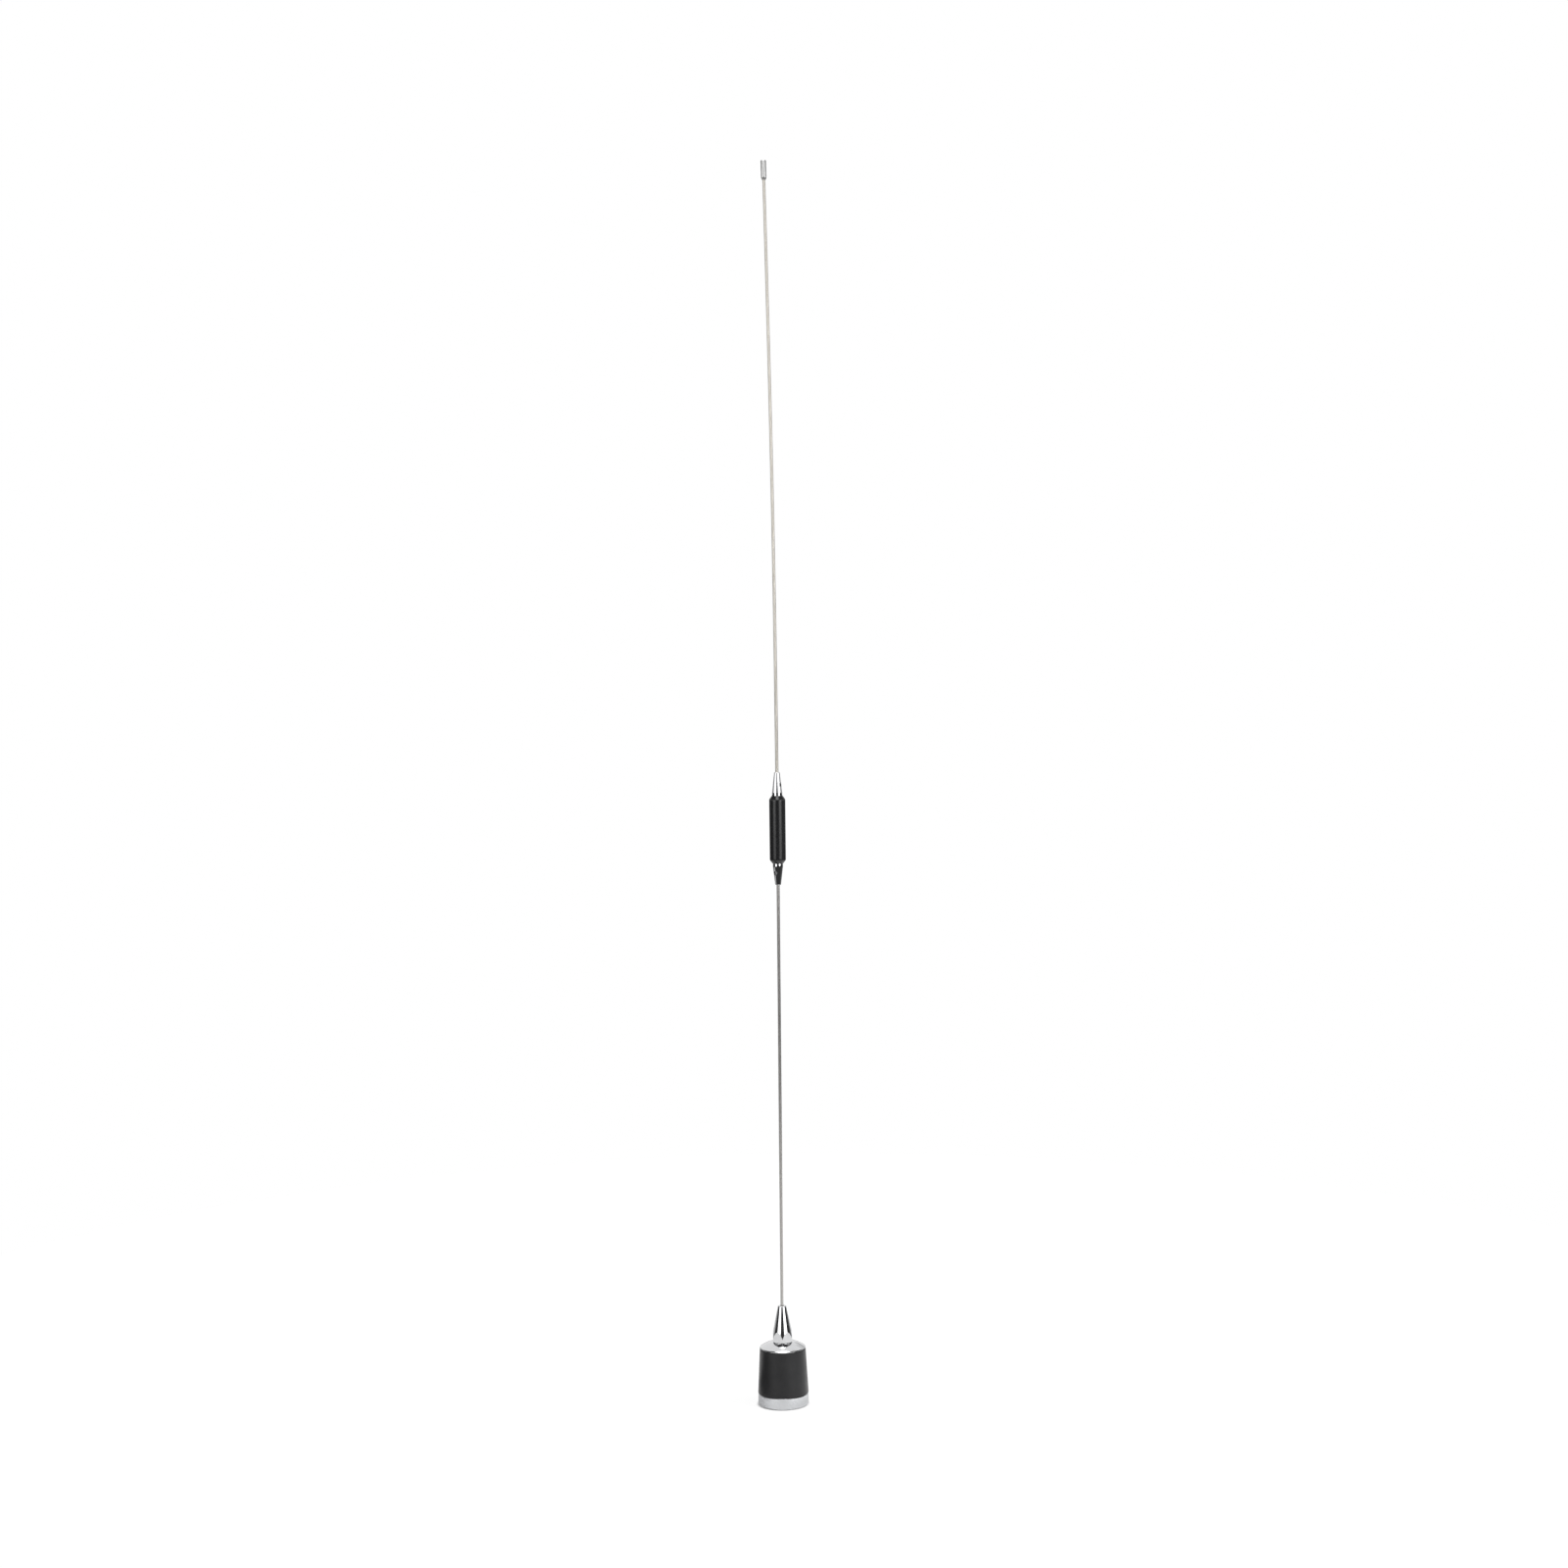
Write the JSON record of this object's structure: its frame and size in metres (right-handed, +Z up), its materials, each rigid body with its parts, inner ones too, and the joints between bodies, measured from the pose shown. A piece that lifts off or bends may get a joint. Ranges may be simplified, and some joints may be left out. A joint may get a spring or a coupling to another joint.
{
  "type": "mobile radio antenna",
  "caption": "Base-loaded mobile whip antenna: tapered housing with domed cap and hexagonal ferrule, slim rod with a phasing coil, and a screw-on base with a sprung centre contact.",
  "frame": {"origin": "centre of the plane the antenna rests on, the underside of its gasket", "axes": "+Z up along the whip, -Y towards the side the picture shows"},
  "size_m": [0.037, 0.037, 0.9],
  "materials": {
    "bright_ring": "satin plate",
    "chrome": "polished plate",
    "stainless": "satin drawn rod",
    "screw_steel": "blackened",
    "brass": "turned",
    "copper": "enamelled copper wire",
    "black_plastic": "satin moulded",
    "pale_insulator": "moulded",
    "rubber": "matt"
  },
  "bodies": {
    "antenna": {"base_ring": "bright_ring", "base_gasket": "rubber", "contact_carrier": "pale_insulator", "contact_sleeve": "brass", "contact_spring": "stainless", "coil_housing": "black_plastic", "top_cap": "chrome", "cap_seal": "rubber", "whip_stud": "brass", "solder_tag": "brass", "stud_nut": "brass", "coil_former": "black_plastic", "loading_coil": "copper", "feed_lead": "copper", "whip_ferrule": "chrome", "base_set_screw": "screw_steel", "lower_whip": "stainless", "phasing_lower_ferrule": "chrome", "phasing_lower_set_screw": "screw_steel", "phasing_core": "pale_insulator", "phasing_coil": "copper", "phasing_sleeve": "black_plastic", "phasing_upper_ferrule": "chrome", "phasing_upper_set_screw": "screw_steel", "upper_whip": "stainless", "whip_tip": "stainless"},
    "centre_contact": {"contact_plunger": "brass"}
  },
  "joints": [
    {"name": "contact_press", "type": "slide", "parent": "antenna", "child": "centre_contact", "axis": [0, 0, 1], "range_m": [0, 0.0015], "stiffness_N_per_m": 600, "deforming": ["contact_spring"]}
  ]
}
